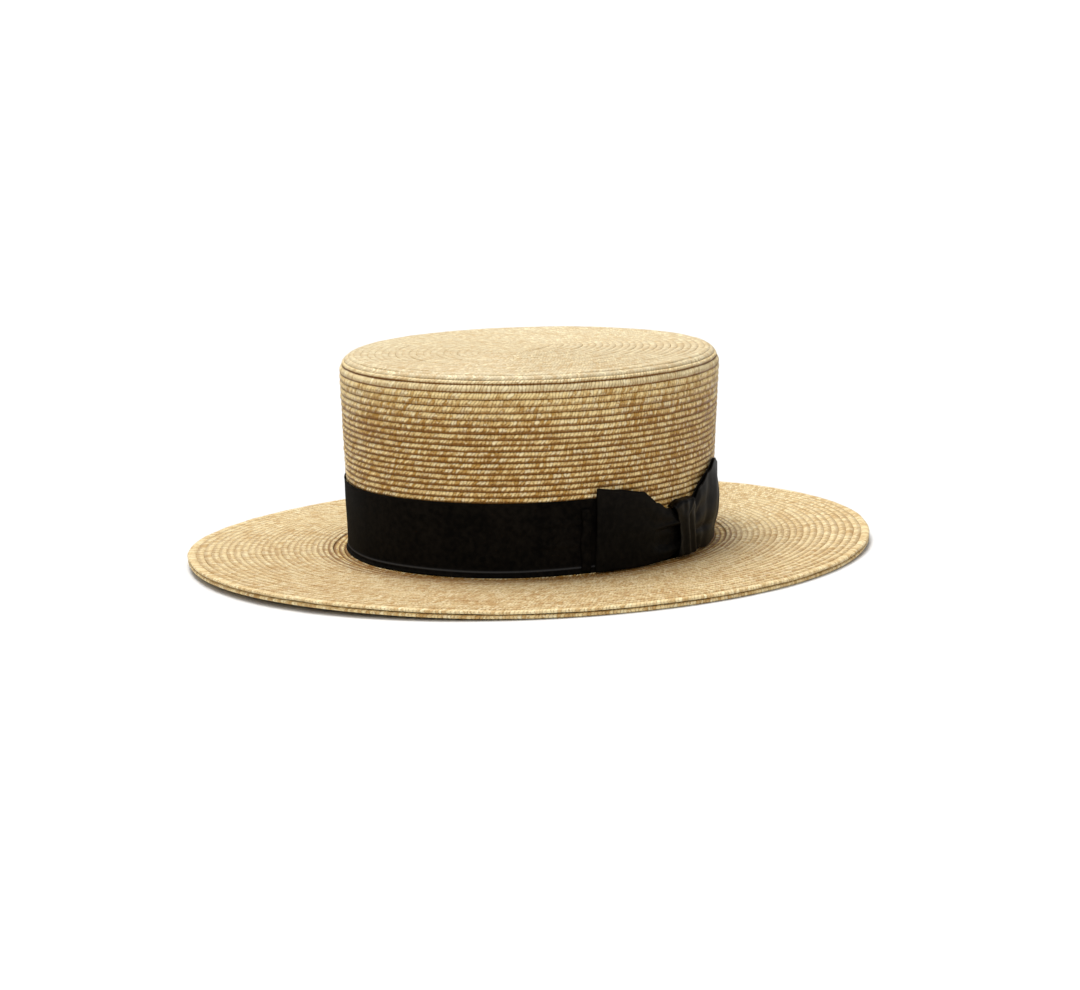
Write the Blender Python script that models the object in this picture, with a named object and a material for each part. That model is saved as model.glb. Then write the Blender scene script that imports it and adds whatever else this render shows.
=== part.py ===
"""A straw boater hat that rests on its brim.

The wearer's face points along -Y, the wearer's left is +X, and the rim stands on the plane z = 0.
Every ring of the hat is the oval of the head opening, moved outwards by an offset and raised to a height.
"""
import math

import bmesh
import bpy
from mathutils import Vector

# The head opening, inside the straw at the foot of the crown. It fits a head 56 to 57 cm round.
HEAD_LENGTH = 0.1955
HEAD_WIDTH = 0.1635

# Straw walls, and the gap kept between pieces that touch
CROWN_WALL = 0.0013
BRIM_WALL = 0.0017
RIM_BRAID_WALL = 0.0018
GAP = 0.0003

# Crown: heights above the floor, measured on the hat's middle line
TIP_HEIGHT = 0.0970
SHOULDER_RISE = 0.0085
SHOULDER_HEIGHT = TIP_HEIGHT - SHOULDER_RISE
SHOULDER_REACH = 0.0068
CROWN_FLARE = 0.0038
SHOULDER_ROWS = 3
ROW_STEP = 0.0006
TIP_CENTRE = 0.006

# Foot of the crown: a fillet, then a flange that lies a little lower than the brim
FOOT_RADIUS = 0.0025
FLANGE_REACH = 0.0079
FLANGE_DROP = 0.0006

# The crown leans a little towards the bow: its slope at the foot, then at the shoulder
FOOT_LEAN = 0.017
CROWN_LEAN = 0.0203

# Brim
BRIM_WIDTH = 0.0773
BRIM_FOOT_HEIGHT = 0.0042
RIM_BRAID_WIDTH = 0.0085
EDGE_ROUND = 0.0005
RIM_GROOVE_DEPTH = 0.0004
RIM_GROOVE_HALF_WIDTH = 0.0006

# The rim is bent a little: it rises at two opposite places and lies flat on the floor between them.
RIM_LIFT = 0.0024
RIM_REST_ANGLE = math.radians(-25.3)
RIM_REST_HALF_ARC = math.radians(20.0)

# Ribbon band: heights of its two edges on the hat's middle line
BAND_FOOT = 0.0051
BAND_TOP = 0.0384
BAND_WALL = 0.0010
BAND_FLARE = 0.0003
BAND_FLARE_HEIGHT = 0.0022

# The bow draws the band together: behind it the band's upper edge dips. The distances run along the crown:
# the dip's middle from the bow's middle, half of its flat bottom, and half of its whole length.
BAND_DIP = 0.0105
BAND_DIP_MIDDLE = -0.0060
BAND_DIP_HALF_FLAT = 0.0080
BAND_DIP_HALF_LENGTH = 0.0270

# Turned end of the band, a narrow upright fold in front of the bow
BAND_END_ANGLE = math.radians(-38.8)
BAND_END_WIDTH = 0.0044
BAND_END_RISE = 0.0014
BAND_END_INSET = 0.0042

# Flat bow on the wearer's left side
BOW_ANGLE = math.radians(-1.5)
BOW_WALL = 0.0010
WING_FOOT = 0.0042
WING_HEIGHT = 0.0390
WING_PUFF = 0.0034
FRONT_WING_LENGTH = 0.0575
BACK_WING_LENGTH = 0.0495
WING_START = 0.0007
PLEAT_DEPTH = 0.0011
PLEATS = 3
KNOT_HALF_WIDTH = 0.0075
KNOT_FOOT = 0.0050
KNOT_TOP = 0.0318
KNOT_GATHERS = 3
GATHER_DEPTH = 0.0006
# Shares of the knot's height and of its thickness: where the strip turns in at its foot and at its top
KNOT_TURN = 0.04
KNOT_TURN_OUT = 0.6

# Fineness of the meshes
RING_POINTS = 64
UPPER_BRIM_RINGS = 4
BAND_END_STEPS = 6
WING_STEPS = 13
WING_ROWS = 13
KNOT_STEPS = 12
KNOT_ROWS = 8
SHARP_ANGLE = math.radians(35.0)

# Degrees at which a quarter round is cut into flats
QUARTER_ROUND = (0.0, 30.0, 60.0, 90.0)

# One row of the shoulder, from its upper end to its lower one.
# Columns: share of the row's arc, height of its bulge as a share of ROW_STEP.
SHOULDER_ROW = (
    (0.97, 0.10),
    (0.50, 0.75),
    (0.07, 1.00),
)

# Wing sections, from the bow's middle to the outer fold.
# Columns: share of the wing's length, top and foot as shares of its height, puff as a share of WING_PUFF.
FRONT_WING = (
    (0.00, 0.50, 0.08, 0.92),
    (0.15, 0.53, 0.07, 0.95),
    (0.31, 0.65, 0.03, 1.05),
    (0.43, 0.74, 0.01, 1.12),
    (0.60, 0.91, 0.00, 1.05),
    (0.81, 0.96, 0.00, 0.95),
    (1.00, 1.00, 0.00, 0.85),
)
BACK_WING = (
    (0.00, 0.60, 0.08, 0.92),
    (0.08, 0.66, 0.07, 0.98),
    (0.19, 0.81, 0.03, 1.10),
    (0.42, 0.93, 0.00, 1.30),
    (0.68, 1.05, 0.00, 1.20),
    (0.84, 0.98, 0.00, 1.10),
    (1.00, 0.78, 0.00, 0.95),
)

# Knot sections, from its foot to its top.
# Columns: share of its height, shift towards the back and half width, both as shares of KNOT_HALF_WIDTH.
KNOT = (
    (0.00, -0.35, 1.00),
    (0.35, -0.32, 0.90),
    (0.60, -0.42, 0.90),
    (0.80, -0.62, 0.95),
    (1.00, -0.85, 0.98),
)


def mix(a, b, share):
    return a + (b - a) * share


def smooth(share):
    """Ease from 0 to 1, flat at both ends."""
    share = min(1.0, max(0.0, share))
    return share * share * (3.0 - 2.0 * share)


def read_table(table, share, column):
    """The value of one column at a share along the table's first column."""
    for low, high in zip(table, table[1:]):
        if share <= high[0]:
            return mix(low[column], high[column], smooth((share - low[0]) / (high[0] - low[0])))
    return table[-1][column]


def on_hat(angle, offset, height):
    """A point of the crown: offset outwards from the foot's oval, at a height, with the crown's lean."""
    x = (HEAD_WIDTH / 2 + CROWN_WALL + offset) * math.cos(angle)
    y = (HEAD_LENGTH / 2 + CROWN_WALL + offset) * math.sin(angle)
    lean = mix(FOOT_LEAN, CROWN_LEAN, min(1.0, height / SHOULDER_HEIGHT))
    return Vector((x + CROWN_LEAN * (height - BRIM_FOOT_HEIGHT), y, height - lean * x))


def rim_lift(angle):
    """How far the rim rises off the floor at an angle. It is 0 along the two arcs that it rests on."""
    rest = math.sin(RIM_REST_HALF_ARC) ** 2
    turn = math.sin(angle - RIM_REST_ANGLE) ** 2
    return RIM_LIFT * smooth((turn - rest) / (1.0 - rest))


def on_brim(angle, reach, depth):
    """A point of the brim: reach outwards from the foot's oval, at a depth under the brim's upper face."""
    inner = FLANGE_REACH + GAP
    flat = BRIM_WIDTH - RIM_BRAID_WIDTH
    x = (HEAD_WIDTH / 2 + CROWN_WALL + reach) * math.cos(angle)
    y = (HEAD_LENGTH / 2 + CROWN_WALL + reach) * math.sin(angle)
    inner_height = on_hat(angle, inner, BRIM_FOOT_HEIGHT).z
    rim_height = RIM_BRAID_WALL + GAP + BRIM_WALL + rim_lift(angle)
    share = min(1.0, max(0.0, (reach - inner) / (flat - inner)))
    return Vector((x, y, mix(inner_height, rim_height, smooth(share)) - depth))


def wall_offset(height):
    """Offset of the crown's outer straw face at a height on its straight side."""
    return CROWN_FLARE * (height - BRIM_FOOT_HEIGHT) / (SHOULDER_HEIGHT - BRIM_FOOT_HEIGHT)


def band_face(height):
    """Offset of the ribbon band's outer face, carried on upwards and downwards for the bow."""
    return wall_offset(height) + GAP + BAND_WALL


def band_top(angle):
    """Height of the band's upper edge at an angle."""
    along = HEAD_LENGTH / 2 * math.remainder(angle - BOW_ANGLE, 2 * math.pi)
    away = abs(along - BAND_DIP_MIDDLE)
    share = (BAND_DIP_HALF_LENGTH - away) / (BAND_DIP_HALF_LENGTH - BAND_DIP_HALF_FLAT)
    return BAND_TOP - BAND_DIP * smooth(share)


def walk(distance, start=BOW_ANGLE):
    """The angle reached by walking a distance round the crown, towards the back if it is positive."""
    steps = 48
    angle = start
    for _ in range(steps):
        along = Vector((HEAD_WIDTH / 2 * math.sin(angle), HEAD_LENGTH / 2 * math.cos(angle)))
        angle += distance / steps / along.length
    return angle


def fabric(name, colour, roughness, specular):
    material = bpy.data.materials.new(name)
    material.use_nodes = True
    shader = material.node_tree.nodes["Principled BSDF"]
    shader.inputs["Base Color"].default_value = (*colour, 1.0)
    shader.inputs["Roughness"].default_value = roughness
    shader.inputs["Metallic"].default_value = 0.0
    shader.inputs["Specular IOR Level"].default_value = specular
    return material


def add_object(name, bm, material):
    """Make an object of a bmesh, shaded smooth except at its sharp edges."""
    bmesh.ops.recalc_face_normals(bm, faces=bm.faces)
    mesh = bpy.data.meshes.new(name)
    bm.to_mesh(mesh)
    bm.free()
    mesh.materials.append(material)
    mesh.shade_smooth()
    mesh.set_sharp_from_angle(angle=SHARP_ANGLE)
    thing = bpy.data.objects.new(name, mesh)
    bpy.context.scene.collection.objects.link(thing)
    return thing


def add_ring(bm, points):
    return [bm.verts.new(point) for point in points]


def round_the_hat(place):
    """The points of one ring: place(angle) for each of RING_POINTS angles."""
    return [place(2 * math.pi * i / RING_POINTS) for i in range(RING_POINTS)]


def skin(bm, rings):
    """Four-sided faces between each ring and the next one."""
    for low, high in zip(rings, rings[1:]):
        for i in range(RING_POINTS):
            following = (i + 1) % RING_POINTS
            bm.faces.new((low[i], low[following], high[following], high[i]))


def shoulder_arc(degrees, inward=0.0):
    """Offset and height of the rounded shoulder, at an angle from its foot (0) to the tip (90)."""
    turn = math.radians(degrees)
    across = (SHOULDER_REACH - inward) * math.cos(turn)
    up = (SHOULDER_RISE - inward) * math.sin(turn)
    return CROWN_FLARE - SHOULDER_REACH + across, SHOULDER_HEIGHT + up


def crown_outer_profile():
    """Offset and height from the tip's middle, over the shoulder's rows and down to the flange's edge."""
    profile = [(TIP_CENTRE - HEAD_WIDTH / 2 - CROWN_WALL, TIP_HEIGHT)]
    for row in reversed(range(SHOULDER_ROWS)):
        for share, bulge in SHOULDER_ROW:
            degrees = (row + share) / SHOULDER_ROWS * 90.0
            turn = math.radians(degrees)
            offset, height = shoulder_arc(degrees)
            offset += ROW_STEP * bulge * math.cos(turn)
            height += ROW_STEP * bulge * math.sin(turn)
            profile.append((offset, height))
    profile.append((CROWN_FLARE, SHOULDER_HEIGHT - ROW_STEP))
    profile.append((wall_offset(BAND_TOP), BAND_TOP))
    flange = BRIM_FOOT_HEIGHT - FLANGE_DROP
    start = wall_offset(flange + FOOT_RADIUS)
    for degrees in QUARTER_ROUND:
        turn = math.radians(degrees)
        offset = start + FOOT_RADIUS * (1 - math.cos(turn))
        profile.append((offset, flange + FOOT_RADIUS * (1 - math.sin(turn))))
    profile.append((FLANGE_REACH, flange))
    return profile


def crown_inner_profile():
    """Offset and height of the inside, from the flange's under edge up to the middle of the tip."""
    flange = BRIM_FOOT_HEIGHT - FLANGE_DROP
    radius = FOOT_RADIUS + CROWN_WALL
    start = wall_offset(flange + FOOT_RADIUS) - CROWN_WALL
    profile = [(FLANGE_REACH, flange - CROWN_WALL)]
    for degrees in reversed(QUARTER_ROUND):
        turn = math.radians(degrees)
        offset = start + radius * (1 - math.cos(turn))
        profile.append((offset, flange + FOOT_RADIUS - radius * math.sin(turn)))
    for degrees in QUARTER_ROUND:
        profile.append(shoulder_arc(degrees, CROWN_WALL))
    profile.append((TIP_CENTRE - HEAD_WIDTH / 2 - CROWN_WALL, TIP_HEIGHT - CROWN_WALL))
    return profile


def make_crown(straw):
    bm = bmesh.new()
    rings = []
    for offset, height in crown_outer_profile() + crown_inner_profile():
        rings.append(add_ring(bm, round_the_hat(lambda angle: on_hat(angle, offset, height))))
    skin(bm, rings)
    for ring in (rings[0], rings[-1]):
        bm.faces.new(ring)
    return add_object("crown", bm, straw)


def make_ring_piece(name, section, material):
    """A closed ring round the hat. The section is a list of functions of the angle, in order round it."""
    bm = bmesh.new()
    rings = [add_ring(bm, round_the_hat(place)) for place in section]
    skin(bm, rings + rings[:1])
    return add_object(name, bm, material)


def make_brim(straw):
    inner = FLANGE_REACH + GAP
    groove = BRIM_WIDTH - RIM_BRAID_WIDTH / 2
    upper = [mix(inner, BRIM_WIDTH, i / UPPER_BRIM_RINGS) for i in range(UPPER_BRIM_RINGS)]
    section = [(reach, 0.0) for reach in upper]
    section += [(groove - RIM_GROOVE_HALF_WIDTH, 0.0), (groove, RIM_GROOVE_DEPTH)]
    section += [(groove + RIM_GROOVE_HALF_WIDTH, 0.0)]
    section += [(BRIM_WIDTH - EDGE_ROUND, 0.0), (BRIM_WIDTH, EDGE_ROUND)]
    section += [(BRIM_WIDTH, BRIM_WALL - EDGE_ROUND), (BRIM_WIDTH - EDGE_ROUND, BRIM_WALL)]
    section += [(reach, BRIM_WALL) for reach in (BRIM_WIDTH - RIM_BRAID_WIDTH, *reversed(upper))]
    places = [lambda angle, reach=reach, depth=depth: on_brim(angle, reach, depth)
              for reach, depth in section]
    return make_ring_piece("brim", places, straw)


def make_rim_braid(straw):
    top = BRIM_WALL + GAP
    foot = top + RIM_BRAID_WALL
    inner = BRIM_WIDTH - RIM_BRAID_WIDTH
    outer = BRIM_WIDTH - EDGE_ROUND
    section = [(inner, top), (outer - EDGE_ROUND, top), (outer, top + EDGE_ROUND)]
    section += [(outer, foot - EDGE_ROUND), (outer - EDGE_ROUND, foot)]
    section += [(inner + EDGE_ROUND, foot), (inner, foot - EDGE_ROUND)]
    places = [lambda angle, reach=reach, depth=depth: on_brim(angle, reach, depth)
              for reach, depth in section]
    return make_ring_piece("rim_braid", places, straw)


def make_hatband(ribbon):
    """The ribbon: straight up the straw, its lower edge standing out where the fillet pushes it."""
    waist = BAND_FOOT + BAND_FLARE_HEIGHT

    def level(height, out):
        return lambda angle: on_hat(angle, wall_offset(height) + GAP + out, height)

    def upper_edge(out):
        return lambda angle: on_hat(angle, wall_offset(band_top(angle)) + GAP + out, band_top(angle))

    places = [level(BAND_FOOT, BAND_FLARE), level(waist, 0.0), upper_edge(0.0), upper_edge(BAND_WALL)]
    places += [level(waist, BAND_WALL), level(BAND_FOOT, BAND_WALL + BAND_FLARE)]
    return make_ring_piece("hatband", places, ribbon)


def add_sheet(name, grid, material):
    """A sheet of ribbon through a grid of points, thickened by a Solidify modifier."""
    bm = bmesh.new()
    rows = [[bm.verts.new(point) for point in row] for row in grid]
    for low, high in zip(rows, rows[1:]):
        for i in range(len(low) - 1):
            bm.faces.new((low[i], low[i + 1], high[i + 1], high[i]))
    sheet = add_object(name, bm, material)
    solidify = sheet.modifiers.new("ribbon thickness", "SOLIDIFY")
    solidify.thickness = BOW_WALL
    solidify.offset = 0.0
    solidify.use_even_offset = True
    return sheet


def make_band_end(ribbon):
    """A tuck of ribbon that stands upright on the band, in front of the bow's front wing."""
    top = BAND_TOP - BAND_END_INSET
    grid = []
    for height in (BAND_FOOT, mix(BAND_FOOT, top, 0.5), top):
        row = []
        for i in range(BAND_END_STEPS + 1):
            across = i / BAND_END_STEPS
            rise = BAND_END_RISE * math.sqrt(math.sin(math.pi * across))
            offset = band_face(height) + BAND_FLARE + GAP + BOW_WALL / 2 + rise
            row.append(on_hat(walk((across - 0.5) * BAND_END_WIDTH, BAND_END_ANGLE), offset, height))
        grid.append(row)
    return add_sheet("band_end", grid, ribbon)


def wing_point(table, length, side, layer, share, up):
    """A point of a wing. Layer is 0 on the inner layer and 1 on the outer one, up runs from foot to top."""
    top = WING_FOOT + WING_HEIGHT * read_table(table, share, 1)
    foot = WING_FOOT + WING_HEIGHT * read_table(table, share, 2)
    height = mix(foot, top, up)
    inner = band_face(height) + BAND_FLARE + GAP + BOW_WALL / 2
    pleat = PLEAT_DEPTH * (1 - share) ** 2 * math.sin(math.pi * PLEATS * up) ** 2
    outer = band_face(height) + WING_PUFF * read_table(table, share, 3) - BOW_WALL / 2 + pleat
    return on_hat(walk(side * mix(WING_START, length, share)), mix(inner, outer, layer), height)


def make_wing(name, table, length, side, ribbon):
    """A loop of ribbon: out along the inner layer, round the outer fold and back along the outer layer."""
    fold_radius = (WING_PUFF - GAP - BOW_WALL) / 2
    straight = 1.0 - fold_radius / length
    path = [(straight * i / WING_STEPS, 0.0) for i in range(WING_STEPS + 1)]
    for degrees in (45.0, 90.0, 135.0):
        turn = math.radians(degrees)
        path.append((straight + (1.0 - straight) * math.sin(turn), 0.5 - 0.5 * math.cos(turn)))
    path += [(share, 1.0) for share, _ in reversed(path[:WING_STEPS + 1])]
    grid = []
    for row in range(WING_ROWS):
        up = row / (WING_ROWS - 1)
        grid.append([wing_point(table, length, side, layer, share, up) for share, layer in path])
    return add_sheet(name, grid, ribbon)


def make_knot(ribbon):
    """The gathered strip that wraps the bow's middle: in at the foot, up its face and in again at the top.

    At the top it reaches in over the band's dip, down to the straw.
    """
    face = WING_PUFF + PLEAT_DEPTH + GAP + BOW_WALL / 2
    root = BAND_FLARE + GAP + BOW_WALL / 2
    seat = BOW_WALL / 2 - BAND_WALL
    turned = mix(root, face, KNOT_TURN_OUT)
    path = [(0.0, root), (0.0, turned)]
    path += [(mix(KNOT_TURN, 1.0 - KNOT_TURN, i / KNOT_ROWS), face) for i in range(KNOT_ROWS + 1)]
    path += [(1.0, turned), (1.0, seat)]
    grid = []
    for up, out in path:
        height = mix(KNOT_FOOT, KNOT_TOP, up)
        centre = KNOT_HALF_WIDTH * read_table(KNOT, up, 1)
        half = KNOT_HALF_WIDTH * read_table(KNOT, up, 2)
        row = []
        for i in range(KNOT_STEPS + 1):
            across = 2.0 * i / KNOT_STEPS - 1.0
            gather = GATHER_DEPTH * math.sin(math.pi * KNOT_GATHERS * (across + 1) / 2) ** 2
            row.append(on_hat(walk(centre + across * half), band_face(height) + out + gather, height))
        grid.append(row)
    return add_sheet("bow_knot", grid, ribbon)


def main():
    for thing in list(bpy.data.objects):
        bpy.data.objects.remove(thing, do_unlink=True)
    make_crown(fabric("crown_straw", (0.66, 0.45, 0.21), 0.55, 0.5))
    make_brim(fabric("brim_straw", (0.74, 0.55, 0.29), 0.55, 0.5))
    make_rim_braid(fabric("rim_braid_straw", (0.70, 0.50, 0.25), 0.55, 0.5))
    make_hatband(fabric("hatband_ribbon", (0.012, 0.011, 0.012), 0.5, 0.4))
    make_band_end(fabric("band_end_ribbon", (0.013, 0.012, 0.013), 0.45, 0.45))
    front_ribbon = fabric("front_wing_ribbon", (0.014, 0.013, 0.014), 0.4, 0.5)
    make_wing("bow_front_wing", FRONT_WING, FRONT_WING_LENGTH, -1.0, front_ribbon)
    back_ribbon = fabric("back_wing_ribbon", (0.014, 0.013, 0.014), 0.4, 0.5)
    make_wing("bow_back_wing", BACK_WING, BACK_WING_LENGTH, 1.0, back_ribbon)
    make_knot(fabric("bow_knot_ribbon", (0.014, 0.013, 0.014), 0.4, 0.5))


main()
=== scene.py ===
"""Looks of a straw boater hat: sewn rows of plaited straw, a black ribbon band and a flat bow.

The hat is laid out as it rests: the face points along -Y, the bow is at +X and the rim stands on z = 0.
Run it as a script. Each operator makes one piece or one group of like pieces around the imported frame.
"""
import functools
import math

import bmesh
import bpy
from mathutils import Matrix, Vector


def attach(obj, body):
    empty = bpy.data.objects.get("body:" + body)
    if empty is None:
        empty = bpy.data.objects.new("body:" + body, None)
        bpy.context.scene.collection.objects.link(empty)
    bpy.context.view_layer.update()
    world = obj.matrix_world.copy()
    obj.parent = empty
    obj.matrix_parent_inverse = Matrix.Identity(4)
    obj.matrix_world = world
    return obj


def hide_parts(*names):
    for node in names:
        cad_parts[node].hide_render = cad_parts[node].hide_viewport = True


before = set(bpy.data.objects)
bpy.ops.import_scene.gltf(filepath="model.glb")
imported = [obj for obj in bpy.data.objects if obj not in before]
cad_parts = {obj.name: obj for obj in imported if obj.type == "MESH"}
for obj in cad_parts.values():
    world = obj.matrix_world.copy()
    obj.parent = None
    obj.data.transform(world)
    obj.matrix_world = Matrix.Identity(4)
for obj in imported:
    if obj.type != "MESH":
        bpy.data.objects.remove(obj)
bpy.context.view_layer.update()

bl_info = {
    "name": "Straw Boater Hat",
    "version": (1, 0, 0),
    "blender": (4, 5, 0),
    "location": "View3D > Sidebar > Boater",
    "description": "Makes the straw rows, ribbon and bow of a boater hat",
    "category": "Add Mesh",
}

# Shape of the hat, the same sizes as its solids have, but for the ribbon, that is as thin as cloth
HEAD_LENGTH = 0.1955
HEAD_WIDTH = 0.1635
CROWN_WALL = 0.0013
BRIM_WALL = 0.0017
RIM_BRAID_WALL = 0.0018
GAP = 0.0003
TIP_HEIGHT = 0.0970
SHOULDER_HEIGHT = 0.0885
SHOULDER_REACH = 0.0068
CROWN_FLARE = 0.0038
FOOT_RADIUS = 0.0025
FLANGE_REACH = 0.0079
FLANGE_DROP = 0.0006
FOOT_LEAN = 0.017
CROWN_LEAN = 0.0203
BRIM_WIDTH = 0.0773
BRIM_FOOT_HEIGHT = 0.0042
RIM_BRAID_WIDTH = 0.0085
RIM_LIFT = 0.0024
RIM_REST_ANGLE = math.radians(-25.3)
RIM_REST_HALF_ARC = math.radians(20.0)
BAND_FOOT = 0.0051
BAND_TOP = 0.0384
RIBBON = 0.0005
BAND_FLARE = 0.0003
BAND_DIP = 0.0105
BAND_DIP_MIDDLE = -0.0060
BAND_DIP_HALF_FLAT = 0.0080
BAND_DIP_HALF_LENGTH = 0.0270
BAND_END_ANGLE = math.radians(-38.8)
BAND_END_WIDTH = 0.0044
BAND_END_RISE = 0.0014
BAND_END_INSET = 0.0042
BOW_ANGLE = math.radians(-1.5)
BOW_WALL = 0.0010
WING_FOOT = 0.0042
WING_HEIGHT = 0.0390
WING_PUFF = 0.0034
FRONT_WING_LENGTH = 0.0575
BACK_WING_LENGTH = 0.0495
WING_START = 0.0007
PLEAT_DEPTH = 0.0011
PLEATS = 3
KNOT_HALF_WIDTH = 0.0075
KNOT_FOOT = 0.0050
KNOT_TOP = 0.0318

# Wing sections, from the bow's middle to the outer fold.
# Columns: share of the wing's length, top and foot as shares of its height, puff as a share of WING_PUFF.
FRONT_WING = (
    (0.00, 0.50, 0.08, 0.92),
    (0.15, 0.53, 0.07, 0.95),
    (0.31, 0.65, 0.03, 1.05),
    (0.43, 0.74, 0.01, 1.12),
    (0.60, 0.91, 0.00, 1.05),
    (0.81, 0.96, 0.00, 0.95),
    (1.00, 1.00, 0.00, 0.85),
)
BACK_WING = (
    (0.00, 0.60, 0.08, 0.92),
    (0.08, 0.66, 0.07, 0.98),
    (0.19, 0.81, 0.03, 1.10),
    (0.42, 0.93, 0.00, 1.30),
    (0.68, 1.05, 0.00, 1.20),
    (0.84, 0.98, 0.00, 1.10),
    (1.00, 0.78, 0.00, 0.95),
)

# Knot sections, from its foot to its top.
# Columns: share of its height, shift towards the back and half width, both as shares of KNOT_HALF_WIDTH.
KNOT = (
    (0.00, -0.35, 1.00),
    (0.35, -0.32, 0.90),
    (0.60, -0.42, 0.90),
    (0.80, -0.62, 0.95),
    (1.00, -0.85, 0.98),
)


def mix(a, b, share):
    return a + (b - a) * share


def mix_colours(a, b, share):
    return tuple(mix(one, other, share) for one, other in zip(a, b))


def smooth(share):
    """Ease from 0 to 1, flat at both ends."""
    share = min(1.0, max(0.0, share))
    return share * share * (3.0 - 2.0 * share)


def bump_at(value, centre, width):
    """A soft hump: 1 at the centre, next to nothing two widths away."""
    return math.exp(-((value - centre) / width) ** 2)


def read_table(table, share, column):
    """A column of a table at a share of the way through it, eased between its rows."""
    for low, high in zip(table, table[1:]):
        if share <= high[0]:
            return mix(low[column], high[column], smooth((share - low[0]) / (high[0] - low[0])))
    return table[-1][column]


def on_hat(angle, offset, height):
    """A point of the crown: offset outwards from the foot's oval, at a height, with the crown's lean."""
    x = (HEAD_WIDTH / 2 + CROWN_WALL + offset) * math.cos(angle)
    y = (HEAD_LENGTH / 2 + CROWN_WALL + offset) * math.sin(angle)
    lean = mix(FOOT_LEAN, CROWN_LEAN, min(1.0, height / SHOULDER_HEIGHT))
    return Vector((x + CROWN_LEAN * (height - BRIM_FOOT_HEIGHT), y, height - lean * x))


def rim_lift(angle):
    rest = math.sin(RIM_REST_HALF_ARC) ** 2
    turn = math.sin(angle - RIM_REST_ANGLE) ** 2
    return RIM_LIFT * smooth((turn - rest) / (1.0 - rest))


def on_brim(angle, reach, depth=0.0):
    """A point of the brim: reach outwards from the foot's oval, at a depth under the brim's upper face."""
    inner = FLANGE_REACH + GAP
    flat = BRIM_WIDTH - RIM_BRAID_WIDTH
    x = (HEAD_WIDTH / 2 + CROWN_WALL + reach) * math.cos(angle)
    y = (HEAD_LENGTH / 2 + CROWN_WALL + reach) * math.sin(angle)
    inner_height = on_hat(angle, inner, BRIM_FOOT_HEIGHT).z
    rim_height = RIM_BRAID_WALL + GAP + BRIM_WALL + rim_lift(angle)
    share = min(1.0, max(0.0, (reach - inner) / (flat - inner)))
    return Vector((x, y, mix(inner_height, rim_height, smooth(share)) - depth))


def wall_offset(height):
    """Offset of the crown's straight side at a height."""
    return CROWN_FLARE * (height - BRIM_FOOT_HEIGHT) / (SHOULDER_HEIGHT - BRIM_FOOT_HEIGHT)


def band_face(height):
    """Offset of the band's outer face at a height."""
    return wall_offset(height) + GAP + RIBBON


def along_bow(angle):
    """Distance along the crown from the bow's middle, towards the back if it is positive."""
    return HEAD_LENGTH / 2 * math.remainder(angle - BOW_ANGLE, 2 * math.pi)


def band_top(angle):
    """Height of the band's upper edge. It dips behind the bow, that draws the band together."""
    away = abs(along_bow(angle) - BAND_DIP_MIDDLE)
    share = (BAND_DIP_HALF_LENGTH - away) / (BAND_DIP_HALF_LENGTH - BAND_DIP_HALF_FLAT)
    return BAND_TOP - BAND_DIP * smooth(share)


def walk(distance, start=BOW_ANGLE):
    """The angle reached by walking a distance round the crown, towards the back if it is positive."""
    steps = 48
    angle = start
    for _ in range(steps):
        along = Vector((HEAD_WIDTH / 2 * math.sin(angle), HEAD_LENGTH / 2 * math.cos(angle)))
        angle += distance / steps / along.length
    return angle


# What the lengths and the colours that a user can change have in common
LENGTH = {"subtype": "DISTANCE", "unit": "LENGTH"}
COLOUR = {"subtype": "COLOR", "size": 3, "min": 0.0, "max": 1.0}


class BoaterStraw(bpy.types.PropertyGroup):
    """Sizes and colours of the sewn straw."""
    side_pitch: bpy.props.FloatProperty(
        name="Side pitch", description="Height of one row on the lower part of the crown",
        default=0.00265, min=0.001, **LENGTH)
    upper_pitch: bpy.props.FloatProperty(
        name="Upper side pitch", description="Height of one row near the shoulder",
        default=0.00316, min=0.001, **LENGTH)
    tip_pitch: bpy.props.FloatProperty(
        name="Tip pitch", description="Width of one row on the flat top",
        default=0.0034, min=0.001, **LENGTH)
    brim_rows: bpy.props.IntProperty(
        name="Brim rows", description="How many rows make the brim", default=22, min=4)
    side_lap: bpy.props.FloatProperty(
        name="Side lap", description="How far a row's lower edge stands out over the next one",
        default=0.00025, min=0.0, **LENGTH)
    splint: bpy.props.FloatProperty(
        name="Splint", description="Length of row that one slanting splint takes",
        default=0.00165, min=0.0005, **LENGTH)
    wander: bpy.props.FloatProperty(
        name="Wander", description="How far a hand-guided row strays from its line",
        default=0.00022, min=0.0, **LENGTH)
    pale: bpy.props.FloatVectorProperty(
        name="Pale splint", description="Colour of the palest straw",
        default=(0.98, 0.76, 0.36), **COLOUR)
    golden: bpy.props.FloatVectorProperty(
        name="Golden splint", description="Colour of the darkest straw",
        default=(0.52, 0.285, 0.060), **COLOUR)
    # Painted shade: this colour stands in for the shade deep between the rows and over each row's lower half;
    # mixed half with the golden splint it also darkens the seams between splints
    shade: bpy.props.FloatVectorProperty(
        name="Shade", description="Colour of the straw deep between the rows",
        default=(0.19, 0.072, 0.007), **COLOUR)
    # Painted light: the colour that stands in for straw in full light; lit pieces mix their colours towards
    # it
    lit_straw: bpy.props.FloatVectorProperty(
        name="Lit splint", description="Colour of straw that lies open to the light",
        default=(0.69, 0.59, 0.385), **COLOUR)
    # Painted glint: a few random splints take this colour in place of highlights
    glint: bpy.props.FloatVectorProperty(
        name="Glint", description="Colour of the few splints that catch the light",
        default=(1.0, 0.87, 0.55), **COLOUR)


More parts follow.
